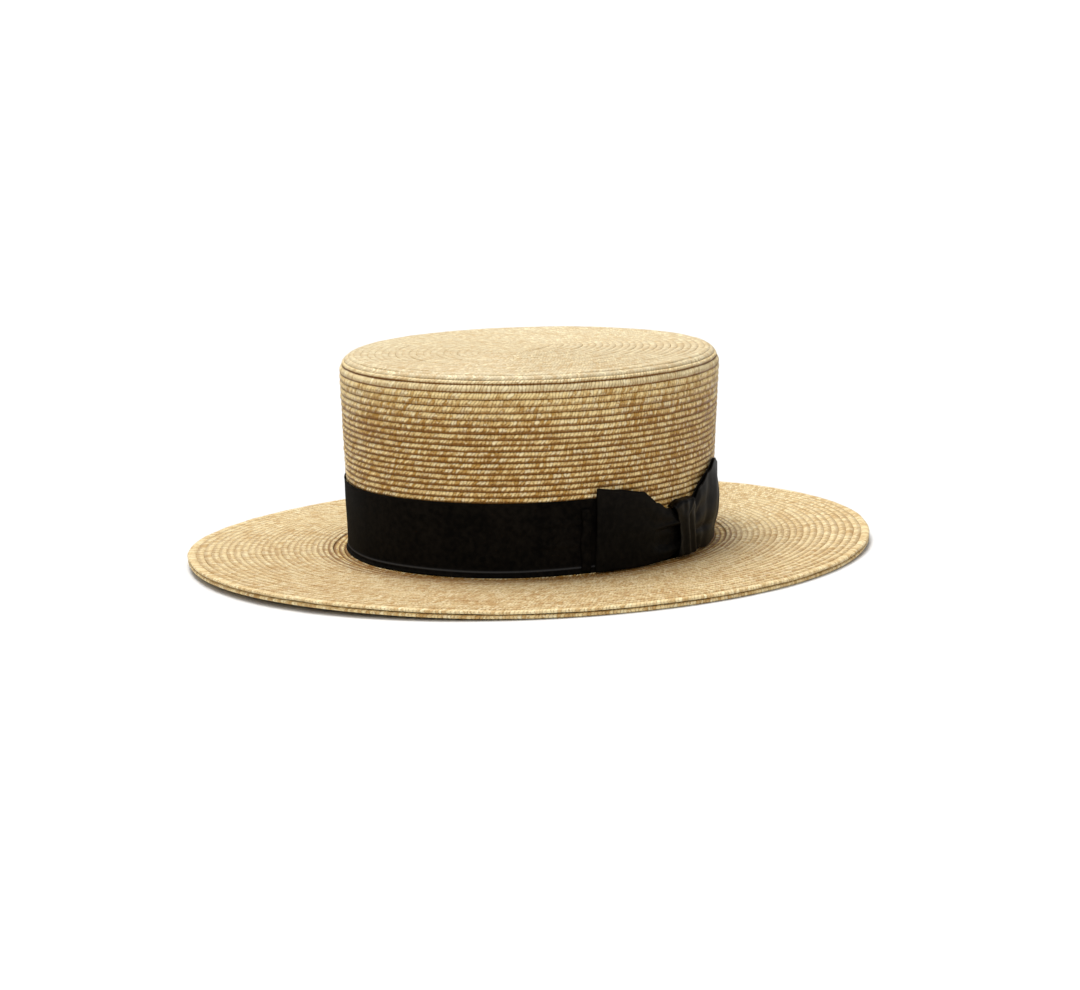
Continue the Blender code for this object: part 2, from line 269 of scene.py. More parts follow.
class BoaterRibbon(bpy.types.PropertyGroup):
    """Sizes and colours of the ribbon."""
    black: bpy.props.FloatVectorProperty(
        name="Ribbon", description="Colour of the ribbon",
        default=(0.0024, 0.0019, 0.0014), **COLOUR)
    # Painted highlight: the grey that stands in for the light that the selvedge fold catches
    selvedge_highlight: bpy.props.FloatVectorProperty(
        name="Selvedge highlight", description="Colour of the fold above the band's lower edge, where it shines",
        default=(0.05, 0.05, 0.052), **COLOUR)
    rib_pitch: bpy.props.FloatProperty(
        name="Rib pitch", description="Distance from one rib of the ribbon to the next",
        default=0.00055, min=0.0001, **LENGTH)
    selvedge: bpy.props.FloatProperty(
        name="Selvedge", description="Height of the folded strip under the band's lower edge",
        default=0.0016, min=0.0, **LENGTH)
    wing_crease: bpy.props.FloatProperty(
        name="Wing crease", description="Depth of the pocket where the front wing meets the knot",
        default=0.0016, min=0.0, **LENGTH)


class Nodes:
    """Short ways to add and join the nodes of a tree."""

    def __init__(self, tree):
        self.tree = tree

    def add(self, kind, **settings):
        node = self.tree.nodes.new(kind)
        for key, value in settings.items():
            setattr(node, key, value)
        return node

    def put(self, socket, value):
        if isinstance(value, bpy.types.NodeSocket):
            self.tree.links.new(value, socket)
        else:
            socket.default_value = value

    def set(self, node, values):
        for key, value in values.items():
            self.put(node.inputs[key], value)

    def math(self, operation, *values, clamp=False):
        node = self.add("ShaderNodeMath", operation=operation, use_clamp=clamp)
        for socket, value in zip(node.inputs, values):
            self.put(socket, value)
        return node.outputs[0]

    def plus(self, *values):
        return functools.reduce(lambda total, value: self.math("ADD", total, value), values)

    def times(self, *values):
        return functools.reduce(lambda product, value: self.math("MULTIPLY", product, value), values)

    def minus(self, value, other):
        return self.math("SUBTRACT", value, other)

    def apart(self, value, other):
        return self.math("ABSOLUTE", self.minus(value, other))

    def parts(self, vector):
        """The x, y and z of a vector."""
        node = self.add("ShaderNodeSeparateXYZ")
        self.put(node.inputs[0], vector)
        return node.outputs


class Shader(Nodes):
    """The nodes of a material."""

    def __init__(self, name):
        self.material = bpy.data.materials.new(name)
        self.material.use_nodes = True
        super().__init__(self.material.node_tree)
        self.surface = self.tree.nodes["Principled BSDF"]

    def vector(self, x, y, z=0.0):
        node = self.add("ShaderNodeCombineXYZ")
        for socket, value in zip(node.inputs, (x, y, z)):
            self.put(socket, value)
        return node.outputs[0]

    def random(self, vector):
        node = self.add("ShaderNodeTexWhiteNoise", noise_dimensions="3D")
        self.put(node.inputs["Vector"], vector)
        return node.outputs["Value"]

    def noise(self, vector, scale, detail=2.0, roughness=0.5):
        node = self.add("ShaderNodeTexNoise", noise_dimensions="3D")
        self.set(node, {"Vector": vector, "Scale": scale, "Detail": detail, "Roughness": roughness})
        return node.outputs["Fac"]

    def span(self, value, low, high, to_low=0.0, to_high=1.0, smoothly=False):
        node = self.add("ShaderNodeMapRange", clamp=True)
        node.interpolation_type = "SMOOTHSTEP" if smoothly else "LINEAR"
        self.set(node, {"Value": value, "From Min": low, "From Max": high,
                        "To Min": to_low, "To Max": to_high})
        return node.outputs["Result"]

    def blend(self, share, a, b):
        node = self.add("ShaderNodeMix", data_type="RGBA")
        self.put(node.inputs[0], share)
        for socket, value in ((node.inputs[6], a), (node.inputs[7], b)):
            self.put(socket, value if isinstance(value, bpy.types.NodeSocket) else (*value, 1.0))
        return node.outputs[2]

    def attribute(self, name, output="Fac"):
        node = self.add("ShaderNodeAttribute", attribute_type="GEOMETRY", attribute_name=name)
        return node.outputs[output]

    def place(self):
        return self.add("ShaderNodeTexCoord").outputs["Object"]

    def turn(self, x, y):
        """How far round the direction (x, y) points, from -0.5 to 0.5."""
        return self.math("DIVIDE", self.math("ARCTAN2", y, x), 2 * math.pi)

    def relief(self, height, strength, distance):
        node = self.add("ShaderNodeBump")
        self.set(node, {"Strength": strength, "Distance": distance, "Height": height})
        self.put(self.surface.inputs["Normal"], node.outputs["Normal"])

    def paint(self, colour, roughness, specular):
        self.set(self.surface, {"Base Color": colour, "Roughness": roughness, "Specular IOR Level": specular})


# How much the straw's tone changes from splint to splint, along its fibres, with its finest flecks,
# from one stretch of a row to the next, and in patches over the hat
SPLINT_TONE = 1.1
FIBRE_TONE = 1.1
FLECK_TONE = 1.5
STRETCH_TONE = 0.8
PATCH_TONE = 0.95

# Noise scales of the straw, in waves per metre: splints that bunch, flecks and patches
BUNCH_SCALE = 190.0
FLECK_SCALE = 620.0
PATCH_SCALE = 26.0

# How far the splints of one row are shifted from those of the row before, in splints
ROW_SHIFT = 7.618

# Heights between which painted light takes the painted shade away under the shoulder, and how much painted
# light it adds to the tone there
SUNLIT_FOOT = 0.072
SUNLIT_TOP = 0.086
SUNLIT_TONE = 0.6

# Rows at the brim's inner edge over which the painted shade of the gutter fades
GUTTER_ROWS = 3.0
STRAW_RELIEF = 0.0006


def plaited_straw(name, slant, fold_at=-2.0, painted_light=0.0, contrast=1.0, under=1.0, bump=1.0, groove=0.55,
                  sunlit=0.0, gutter=0.0, open_row=None):
    """Straw plait: slanting splints along each row, each with its own tone, and painted shade between the
    rows.

    The splints turn back at fold_at across the row, from -1 at its upper edge to 1 at its lower one.
    The share of painted light pales and lightens the colours of a piece that stands in the light. Under
    paints shade over the lower half of each row, and groove is where the painted shade of the seam between
    rows starts.
    Sunlit paints light that takes the painted shade away near the shoulder, and gutter paints more shade on
    the first rows. The open row has nothing beside it, so no painted shade at its edges.
    """
    straw = bpy.context.scene.boater_straw
    look = Shader(name)
    place = look.place()
    across = look.attribute("across")
    row = look.attribute("row")
    # Painted light under the shoulder: a share that grows with height there
    high = look.span(look.parts(place)[2], SUNLIT_FOOT, SUNLIT_TOP, 0.0, sunlit)
    # Painted shade on the brim's first rows, in the gutter at the crown's foot
    if gutter:
        under = look.plus(under, look.span(row, 0.0, GUTTER_ROWS, gutter, 0.0))
    if open_row is not None:
        under = look.times(look.math("MINIMUM", look.apart(row, open_row), 1.0), under)

    # The splints are cells along the row, each with a round back
    x, y, _ = look.parts(look.attribute("round", "Vector"))
    count = look.times(look.turn(x, y), look.attribute("splints"))
    bunched = look.times(look.noise(place, BUNCH_SCALE), 2.2)
    slanted = look.times(look.apart(across, fold_at), slant)
    along = look.plus(count, look.times(row, ROW_SHIFT), bunched, slanted)
    cell = look.math("FLOOR", along)
    gloss = look.random(look.vector(cell, row, 7.5))
    edge = look.apart(look.times(look.math("FRACT", along), 2.0), 1.0)
    round_back = look.math("SQRT", look.math("SUBTRACT", 1.0, look.math("POWER", edge, 2.0), clamp=True))

    fibre = look.noise(look.vector(look.times(along, 2.5), look.times(across, 1.4), row), 1.0, 3.0, 0.7)
    fleck = look.noise(place, FLECK_SCALE, 2.0, 0.6)
    stretch = look.noise(look.vector(look.times(count, 0.13), look.times(row, 3.1)), 1.0, 3.0, 0.65)
    patch = look.noise(place, PATCH_SCALE, 3.0, 0.6)
    own = look.random(look.vector(cell, row, 0.5))
    changes = ((own, SPLINT_TONE), (fibre, FIBRE_TONE), (fleck, FLECK_TONE), (stretch, STRETCH_TONE),
               (patch, PATCH_TONE))
    changes = [look.times(look.minus(value, 0.5), weight * contrast) for value, weight in changes]
    tone = look.plus(*changes, look.times(high, SUNLIT_TONE))
    # Painted light: pieces that stand in the light take a lighter tone, and colours mixed towards the straw
    # colour painted as lit
    tone = look.math("ADD", tone, 0.5 + 0.15 * painted_light, clamp=True)
    pale = mix_colours(straw.pale, straw.lit_straw, painted_light)
    golden = mix_colours(straw.golden, straw.lit_straw, 0.55 * painted_light)
    colour = look.blend(tone, golden, pale)
    # Painted glint: a few random splints, also the least rough, take the glint colour in place of highlights
    glint = look.span(look.plus(gloss, look.times(fleck, 1.4)), 1.42, 1.65)
    colour = look.blend(look.times(glint, 0.7), colour, straw.glint)
    seam = look.span(edge, 0.55, 1.0, 0.0, 0.35 * contrast)
    colour = look.blend(seam, colour, mix_colours(golden, straw.shade, 0.5))

    # Painted shade over the lower half of each row, with a ragged edge, and in the grooves above and below
    # the row
    ragged = look.plus(look.times(round_back, 0.3), look.times(stretch, 0.9), look.times(fleck, 0.9))
    lower = look.minus(across, look.minus(ragged, 1.08))
    shaded = look.times(look.span(lower, -0.30, 0.35, 0.0, 0.92, smoothly=True), under, look.minus(1.0, high))
    colour = look.blend(shaded, colour, straw.shade)
    wave = look.times(round_back, 0.20)
    deep = look.math("MAXIMUM",
                     look.span(look.plus(across, wave), 0.10 - groove, -groove - 0.25, smoothly=True),
                     look.span(look.minus(across, wave), groove - 0.15, groove + 0.20, smoothly=True))
    colour = look.blend(look.times(deep, under), colour, straw.shade)
    look.paint(colour, look.span(gloss, 0.0, 1.0, 0.62, 0.34), 0.25)
    look.relief(look.plus(look.times(round_back, 0.6), look.times(fleck, 1.2)), 1.0, STRAW_RELIEF * bump)
    return look.material


# Noise scales of the ribbon, in waves per metre: its weave, its mottling and its clouds
WEAVE_SCALE = 900.0
MOTTLE_SCALE = 420.0
CLOUD_SCALE = 45.0
RIBBON_RELIEF = 0.00008


def black_ribbon(name, roughness=0.75, gloss=0.04):
    """Black ribbon with fine ribs across its width, uneven in tone, and greyer along its selvedge fold as a
    painted highlight.
    """
    ribbon = bpy.context.scene.boater_ribbon
    look = Shader(name)
    place = look.place()
    x, y, _ = look.parts(place)
    turn = look.turn(look.math("DIVIDE", x, HEAD_WIDTH), look.math("DIVIDE", y, HEAD_LENGTH))
    ribs = round(math.pi * (HEAD_WIDTH + HEAD_LENGTH) / 2 / ribbon.rib_pitch)
    rib = look.math("SINE", look.times(turn, 2 * math.pi * ribs))
    weave = look.noise(place, WEAVE_SCALE, 2.0, 0.6)
    cloud = look.noise(place, CLOUD_SCALE, 3.0, 0.6)
    tone = look.plus(look.times(cloud, 0.5), look.times(look.noise(place, MOTTLE_SCALE), 0.5))
    darkest, palest = (tuple(part * share for part in ribbon.black) for share in (0.5, 2.6))
    colour = look.blend(look.span(tone, 0.40, 0.62), darkest, palest)
    # Painted highlight along the selvedge fold, where the marks say it catches the light
    colour = look.blend(look.attribute("selvedge"), colour, ribbon.selvedge_highlight)
    look.paint(colour, look.span(cloud, 0.2, 0.8, roughness - 0.05, roughness + 0.12), gloss)
    look.relief(look.plus(look.times(rib, 0.5), look.times(weave, 0.5)), 0.35, RIBBON_RELIEF)
    return look.material


def plait_tree():
    """Geometry nodes that sew a flat plait along each closed path, lapped over the next one.

    Each point of a path holds its outward and its downhill direction.
    """
    tree = bpy.data.node_groups.new("sewn plait rows", "GeometryNodeTree")
    tree.interface.new_socket("Geometry", in_out="INPUT", socket_type="NodeSocketGeometry")
    for name, kind, value in (
        ("Overlap", "NodeSocketFloat", 1.15),
        ("Plait Thickness", "NodeSocketFloat", 0.0011),
        ("Flatness", "NodeSocketFloat", 0.7),
        ("Lap", "NodeSocketFloat", 0.0003),
        ("Wander", "NodeSocketFloat", 0.0002),
        ("Wander Scale", "NodeSocketFloat", 45.0),
        ("Splint Slant", "NodeSocketFloat", 1.0),
        ("Splint Relief", "NodeSocketFloat", 0.0),
        ("Section Points", "NodeSocketInt", 8),
        ("Seed", "NodeSocketFloat", 3.0),
        ("Straw", "NodeSocketMaterial", None),
    ):
        socket = tree.interface.new_socket(name, in_out="INPUT", socket_type=kind)
        if value is not None:
            socket.default_value = value
    tree.interface.new_socket("Geometry", in_out="OUTPUT", socket_type="NodeSocketGeometry")
    sew = Nodes(tree)
    given = sew.add("NodeGroupInput").outputs

    def named(name, kind="FLOAT"):
        node = sew.add("GeometryNodeInputNamedAttribute", data_type=kind)
        node.inputs["Name"].default_value = name
        return node.outputs["Attribute"]

    def with_place(geometry):
        """The geometry, and the place that each of its points has now."""
        node = sew.add("GeometryNodeCaptureAttribute")
        node.capture_items.new("VECTOR", "kept")
        sew.put(node.inputs[0], geometry)
        sew.put(node.inputs[1], sew.add("GeometryNodeInputPosition").outputs[0])
        return node.outputs[0], node.outputs[1]

    def moved(place, direction, distance):
        scaled = sew.add("ShaderNodeVectorMath", operation="SCALE")
        sew.put(scaled.inputs[0], direction)
        sew.put(scaled.inputs["Scale"], distance)
        added = sew.add("ShaderNodeVectorMath", operation="ADD")
        sew.put(added.inputs[0], place)
        sew.put(added.inputs[1], scaled.outputs[0])
        return added.outputs[0]

    to_curve = sew.add("GeometryNodeMeshToCurve")
    sew.put(to_curve.inputs[0], given["Geometry"])
    path, centre = with_place(to_curve.outputs[0])
    circle = sew.add("GeometryNodeCurvePrimitiveCircle")
    sew.put(circle.inputs["Resolution"], given["Section Points"])
    circle.inputs["Radius"].default_value = 1.0
    section, corner = with_place(circle.outputs[0])
    sweep = sew.add("GeometryNodeCurveToMesh")
    sew.put(sweep.inputs["Curve"], path)
    sew.put(sweep.inputs["Profile Curve"], section)

    # The section's corners, flattened to the plait's profile
    across, through, _ = sew.parts(corner)
    flattened = sew.times(sew.math("SIGN", through),
                          sew.math("POWER", sew.math("ABSOLUTE", through), given["Flatness"]))

    # How far each row strays from its line, down the slope and outwards
    wander = []
    for shift in (0.0, 5.7):
        noise = sew.add("ShaderNodeTexNoise", noise_dimensions="4D")
        sew.put(noise.inputs["Vector"], centre)
        sew.put(noise.inputs["Scale"], given["Wander Scale"])
        noise.inputs["Detail"].default_value = 2.0
        sew.put(noise.inputs["W"], sew.plus(sew.times(named("row"), 1.7), given["Seed"], shift))
        wander.append(sew.times(sew.minus(noise.outputs["Fac"], 0.5), 4.0, given["Wander"]))

    # The splints' own rounding, that shows on the boldest rows
    splint = sew.plus(sew.times(named("turn"), named("splints")), sew.times(across, given["Splint Slant"]),
                      sew.times(named("row"), ROW_SHIFT % 1.0))
    ripple = sew.times(sew.math("SINE", sew.times(splint, 2 * math.pi)), given["Splint Relief"])

    half_width = sew.times(named("width"), sew.times(given["Overlap"], 0.5))
    down = sew.plus(sew.times(across, half_width), wander[0])
    out = sew.plus(sew.times(flattened, sew.times(given["Plait Thickness"], 0.5)),
                   sew.times(across, given["Lap"]), wander[1],
                   sew.times(ripple, sew.math("ABSOLUTE", through)))
    place = moved(centre, named("downhill", "FLOAT_VECTOR"), down)
    place = moved(place, named("outward", "FLOAT_VECTOR"), out)

    setting = sew.add("GeometryNodeSetPosition")
    sew.put(setting.inputs["Geometry"], sweep.outputs[0])
    sew.put(setting.inputs["Position"], place)
    store = sew.add("GeometryNodeStoreNamedAttribute", data_type="FLOAT")
    store.inputs["Name"].default_value = "across"
    sew.put(store.inputs["Geometry"], setting.outputs[0])
    sew.put(store.inputs["Value"], across)
    realize = sew.add("GeometryNodeRealizeInstances")
    sew.put(realize.inputs[0], store.outputs[0])
    colour = sew.add("GeometryNodeSetMaterial")
    sew.put(colour.inputs["Geometry"], realize.outputs[0])
    sew.put(colour.inputs["Material"], given["Straw"])
    sew.put(sew.add("NodeGroupOutput").inputs[0], colour.outputs[0])
    return tree


def plait_rows(name, rows, points, slot, node, straw, **sizes):
    """One piece of sewn rows. A row is a function of the angle that gives its centre and its downhill line.

    The downhill line is as long as the row is wide. Each row is a ring of as many points.
    """
    splint = bpy.context.scene.boater_straw.splint
    mesh = bpy.data.meshes.new(name + "_paths")
    places, edges, outward, downhill, around = [], [], [], [], []
    facts = {"row": [], "turn": [], "splints": [], "width": []}
    for number, row in enumerate(rows):
        first = len(places)
        ring = [row(2 * math.pi * i / points) for i in range(points)]
        steps = [(ring[(i + 1) % points][0] - ring[i][0]).length for i in range(points)]
        whole = sum(steps)
        walked = 0.0
        for i, (centre, down) in enumerate(ring):
            ahead = ring[(i + 1) % points][0] - ring[i - 1][0]
            across = (down - down.project(ahead)).normalized()
            places.append(centre)
            downhill.append(across)
            outward.append(across.cross(ahead).normalized())
            turn = 2 * math.pi * walked / whole
            around.append(Vector((math.cos(turn), math.sin(turn), 0.0)))
            facts["row"].append(float(number))
            facts["width"].append(down.length)
            facts["turn"].append(walked / whole)
            facts["splints"].append(float(max(6, round(whole / splint))))
            edges.append((first + i, first + (i + 1) % points))
            walked += steps[i]
    mesh.from_pydata(places, edges, [])
    for key, vectors in (("outward", outward), ("downhill", downhill), ("round", around)):
        layer = mesh.attributes.new(key, "FLOAT_VECTOR", "POINT")
        layer.data.foreach_set("vector", [part for vector in vectors for part in vector])
    for key, values in facts.items():
        mesh.attributes.new(key, "FLOAT", "POINT").data.foreach_set("value", values)
    paths = bpy.data.objects.new(name + "_paths", mesh)
    bpy.context.scene.collection.objects.link(paths)
    tree = bpy.data.node_groups.get("sewn plait rows") or plait_tree()
    modifier = paths.modifiers.new("sewn rows", "NODES")
    modifier.node_group = tree
    values = {"Straw": straw, **sizes}
    for item in tree.interface.items_tree:
        if item.item_type == "SOCKET" and item.in_out == "INPUT" and item.name in values:
            modifier[item.identifier] = values[item.name]
    return finished(name, paths, slot, node)


def finished(name, source, slot, *nodes):
    """The evaluated source as a plain mesh piece with its faces outwards, riding on the hat."""
    evaluated = source.evaluated_get(bpy.context.evaluated_depsgraph_get())
    mesh = bpy.data.meshes.new_from_object(evaluated)
    mesh.name = name
    old = source.data
    bpy.data.objects.remove(source, do_unlink=True)
    bpy.data.meshes.remove(old)
    bm = bmesh.new()
    bm.from_mesh(mesh)
    if bm.calc_volume(signed=True) < 0.0:
        bmesh.ops.reverse_faces(bm, faces=bm.faces)
    bm.to_mesh(mesh)
    bm.free()
    mesh.shade_smooth()
    piece = bpy.data.objects.new(name, mesh)
    bpy.context.scene.collection.objects.link(piece)
    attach(piece, "root")
    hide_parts(*nodes)
    return piece


# Half the width of the eye that the rows leave in the tip's middle: for the line and for the last row
TIP_EYE = 0.0005
LAST_ROW_EYE = 0.0001


def crown_line():
    """The crown's outer face as (offset, height) points, from the flange's edge up to the tip's middle."""
    flange = BRIM_FOOT_HEIGHT - FLANGE_DROP
    start = wall_offset(flange + FOOT_RADIUS)
    line = [(FLANGE_REACH, flange)]
    for degrees in range(90, -1, -10):
        turn = math.radians(degrees)
        line.append((start + FOOT_RADIUS * (1 - math.cos(turn)), flange + FOOT_RADIUS * (1 - math.sin(turn))))
    line.append((CROWN_FLARE, SHOULDER_HEIGHT))
    for degrees in range(6, 91, 6):
        turn = math.radians(degrees)
        offset = CROWN_FLARE - SHOULDER_REACH + SHOULDER_REACH * math.cos(turn)
        line.append((offset, SHOULDER_HEIGHT + (TIP_HEIGHT - SHOULDER_HEIGHT) * math.sin(turn)))
    line.append((-HEAD_WIDTH / 2 - CROWN_WALL + TIP_EYE, TIP_HEIGHT))
    return line


CROWN_LINE = crown_line()

# Where the side's rows end under the shoulder, and the angles in degrees of the grooves above that
SIDE_TOP = 0.0888
SHOULDER_GROOVES = (29, 46)
FIRST_TIP_GROOVE = 67

# The bold rows between those grooves, with their thickness
SHOULDER_ROWS = (("crown_shoulder_lower", 0.0028), ("crown_shoulder_upper", 0.0019))

# The height from which the side's rows grow taller, and over how much height they do
TALL_ROWS_HEIGHT = 0.067
TALL_ROWS_EASE = 0.008

# How deep the middle of a side row lies under the crown's face, behind the ribbon and above it
COVERED_INSET = 0.0012
OPEN_INSET = 0.0009

# How much of the brim's width its rows share unevenly, so that they widen towards the rim
BRIM_GROWTH = 0.20


def along_crown(distance):
    """Offset and height at a distance along the crown's line."""
    for low, high in zip(CROWN_LINE, CROWN_LINE[1:]):
        step = math.dist(low, high)
        if distance <= step or high is CROWN_LINE[-1]:
            return mix(low[0], high[0], distance / step), mix(low[1], high[1], distance / step)
        distance -= step


def crown_distance(height):
    """Distance along the crown's line of a height between its foot and its tip."""
    total = 0.0
    for low, high in zip(CROWN_LINE, CROWN_LINE[1:]):
        if low[1] <= height <= high[1] and high[1] > low[1]:
            break
        total += math.dist(low, high)
    return total + math.dist(low, high) * (height - low[1]) / (high[1] - low[1])


def crown_row(low, high, inset):
    """A row between two distances along the crown's line, its middle inset under the crown's face."""
    middle = mix(low, high, 0.5)
    step = (high - low) / 4
    before = along_crown(middle - step)
    after = along_crown(middle + step)
    here = along_crown(middle)
    across = Vector((after[1] - before[1], before[0] - after[0])).normalized()

    def place(angle):
        centre = on_hat(angle, here[0] - across.x * inset, here[1] - across.y * inset)
        return centre, (on_hat(angle, *before) - on_hat(angle, *after)).normalized() * (high - low)

    return place


def brim_row(low, high, depth):
    """A row between two reaches on the brim, its middle at a depth under the brim's upper face."""
    middle = mix(low, high, 0.5)
    step = (high - low) / 4

    def place(angle):
        down = on_brim(angle, middle + step) - on_brim(angle, middle - step)
        return on_brim(angle, middle, depth), down.normalized() * (high - low)

    return place


def between(edges):
    return list(zip(edges, edges[1:]))


def side_edges():
    """Heights of the grooves of the crown's side, from the bottom of the band's dip up to the shoulder."""
    straw = bpy.context.scene.boater_straw
    edges = [SIDE_TOP]
    while edges[-1] > BAND_TOP - BAND_DIP:
        tall = smooth((edges[-1] - TALL_ROWS_HEIGHT) / TALL_ROWS_EASE)
        edges.append(edges[-1] - mix(straw.side_pitch, straw.upper_pitch, tall))
    return edges[::-1]


def shoulder_distance(degrees):
    """Distance along the crown's line of an angle on the shoulder, 0 at its foot and 90 at the tip."""
    total = crown_distance(SHOULDER_HEIGHT)
    for step in range(round(degrees)):
        low, high = math.radians(step), math.radians(step + 1)
        total += math.hypot(SHOULDER_REACH * (math.cos(low) - math.cos(high)),
                            (TIP_HEIGHT - SHOULDER_HEIGHT) * (math.sin(high) - math.sin(low)))
    return total


class BOATER_OT_crown_side(bpy.types.Operator):
    """Sew the rows of the crown's side, above the ribbon"""
    bl_idname = "boater.crown_side"
    bl_label = "Crown Side"

    def execute(self, context):
        straw = context.scene.boater_straw
        rows = []
        for low, high in between(side_edges()):
            open_share = smooth((low - BAND_TOP + 0.001) / 0.002)
            inset = mix(COVERED_INSET, OPEN_INSET, open_share)
            rows.append(crown_row(crown_distance(low), crown_distance(high), inset))
        look = plaited_straw("side_plait", 0.5, contrast=1.15, sunlit=0.5)
        plait_rows("crown_side", rows, 336, "crown_straw", "crown", look, **{
            "Overlap": 1.12, "Plait Thickness": 0.0023, "Lap": straw.side_lap,
            "Flatness": 1.0, "Wander": straw.wander, "Section Points": 12})
        return {"FINISHED"}


class BOATER_OT_crown_foot(bpy.types.Operator):
    """Sew the rows under the ribbon, and those of the gutter at the crown's foot"""
    bl_idname = "boater.crown_foot"
    bl_label = "Crown Foot"

    def execute(self, context):
        straw = context.scene.boater_straw
        top = crown_distance(side_edges()[0])
        count = round(top / straw.side_pitch)
        edges = [top * i / count for i in range(count + 1)]
        rows = [crown_row(low, high, 0.00075) for low, high in between(edges)]
        look = plaited_straw("foot_plait", 0.5, under=0.9)
        plait_rows("crown_foot", rows, 256, "crown_straw", "crown", look, **{
            "Overlap": 1.2, "Plait Thickness": 0.0013, "Lap": 0.0002, "Flatness": 0.9, "Wander": 0.00006})
        return {"FINISHED"}


class BOATER_OT_shoulder(bpy.types.Operator):
    """Sew the bold rows of the rounded shoulder"""
    bl_idname = "boater.shoulder"
    bl_label = "Shoulder"

    def execute(self, context):
        edges = [crown_distance(SIDE_TOP), *(shoulder_distance(degrees) for degrees in SHOULDER_GROOVES)]
        look = plaited_straw("shoulder_plait", 0.5, painted_light=0.5, sunlit=0.65, groove=0.45)
        for number, (name, thick) in enumerate(SHOULDER_ROWS):
            row = crown_row(edges[number], edges[number + 1], thick / 2 - 0.0001)
            plait_rows(name, [row], 1100, "crown_straw", "crown", look, **{
                "Overlap": 1.08, "Plait Thickness": thick, "Lap": 0.0002,
                "Flatness": 1.0, "Wander": 0.00018, "Splint Slant": 0.45, "Splint Relief": 0.00007,
                "Seed": 3.0 + number, "Section Points": 14})
        return {"FINISHED"}


class BOATER_OT_tip(bpy.types.Operator):
    """Sew the rows of the flat top, oval inside oval"""
    bl_idname = "boater.tip"
    bl_label = "Tip"

    def execute(self, context):
        straw = context.scene.boater_straw
        edges = [shoulder_distance(degrees) for degrees in (SHOULDER_GROOVES[-1], FIRST_TIP_GROOVE, 90)]
        reach = HEAD_WIDTH / 2 + CROWN_WALL + CROWN_FLARE - SHOULDER_REACH
        count = round(reach / straw.tip_pitch)
        edges += [edges[2] + (reach - LAST_ROW_EYE) * i / count for i in range(1, count + 1)]
        rows = [crown_row(low, high, 0.0007) for low, high in between(edges)]
        look = plaited_straw("tip_plait", 0.9, fold_at=0.1, painted_light=0.95, under=0.16, bump=0.5, groove=0.7)
        plait_rows("crown_tip", rows, 360, "crown_straw", "crown", look, **{
            "Plait Thickness": 0.0013, "Lap": 0.0001, "Flatness": 0.55, "Wander": straw.wander})
        return {"FINISHED"}


class BOATER_OT_brim(bpy.types.Operator):
    """Sew the rows of the brim, wider towards the rim"""
    bl_idname = "boater.brim"
    bl_label = "Brim"

    def execute(self, context):
        straw = context.scene.boater_straw
        inner = FLANGE_REACH + GAP
        count = straw.brim_rows
        shares = [i / count for i in range(count + 1)]
        edges = [mix(inner, BRIM_WIDTH, mix(share, share * share, BRIM_GROWTH)) for share in shares]
        rows = [brim_row(low, high, BRIM_WALL / 2) for low, high in between(edges)]
        look = plaited_straw("brim_plait", 0.9, fold_at=0.05, painted_light=0.52, contrast=1.25, under=0.42,
                             bump=0.7, groove=0.7, gutter=0.45, open_row=count - 1)
        plait_rows("brim_rows", rows, 400, "brim_straw", "brim", look, **{
            "Plait Thickness": BRIM_WALL - 0.0001, "Lap": 0.00008, "Flatness": 0.42,
            "Wander": straw.wander, "Section Points": 10})
        return {"FINISHED"}


class BOATER_OT_rim_braid(bpy.types.Operator):
    """Sew the last row, turned under the brim's edge"""
    bl_idname = "boater.rim_braid"
    bl_label = "Rim Braid"

    def execute(self, context):
        inner = BRIM_WIDTH - RIM_BRAID_WIDTH
        depth = BRIM_WALL + GAP + RIM_BRAID_WALL / 2
        middle = mix(inner, BRIM_WIDTH, 0.5)
        rows = [brim_row(middle, BRIM_WIDTH, depth), brim_row(inner, middle, depth)]
        look = plaited_straw("rim_plait", 0.9, fold_at=0.0, painted_light=0.3, under=0.5, open_row=0)
        plait_rows("rim_braid_rows", rows, 640, "rim_braid_straw", "rim_braid", look, **{
            "Overlap": 1.05, "Plait Thickness": RIM_BRAID_WALL - 0.0001,
            "Lap": 0.0, "Flatness": 0.5, "Wander": 0.00002, "Section Points": 10})
        return {"FINISHED"}


def fillet_offset(height):
    """Offset of the straw's face in the fillet at the crown's foot."""
    top = BRIM_FOOT_HEIGHT - FLANGE_DROP + FOOT_RADIUS
    sunk = min(1.0, max(0.0, (top - height) / FOOT_RADIUS))
    return wall_offset(top) + FOOT_RADIUS * (1.0 - math.sqrt(1.0 - sunk * sunk))


def ribbon_piece(name, grid, closed, look, slot, node, marks=()):
    """A ribbon through a grid of points, as thick as cloth. Marks tell how much painted highlight each row of
    points takes.
    """
    bm = bmesh.new()
    rows = [[bm.verts.new(point) for point in row] for row in grid]
    for low, high in zip(rows, rows[1:]):
        count = len(low) if closed else len(low) - 1
        for i in range(count):
            following = (i + 1) % len(low)
            bm.faces.new((low[i], low[following], high[following], high[i]))
    mesh = bpy.data.meshes.new(name + "_sheet")
    bm.to_mesh(mesh)
    bm.free()
    mesh.materials.append(look)
    if marks:
        shine = [mark for mark, row in zip(marks, grid) for _ in row]
        mesh.attributes.new("selvedge", "FLOAT", "POINT").data.foreach_set("value", shine)
    source = bpy.data.objects.new(name + "_sheet", mesh)
    bpy.context.scene.collection.objects.link(source)
    solidify = source.modifiers.new("ribbon thickness", "SOLIDIFY")
    solidify.thickness = RIBBON
    solidify.offset = 0.0
    solidify.use_even_offset = True
    return finished(name, source, slot, node)


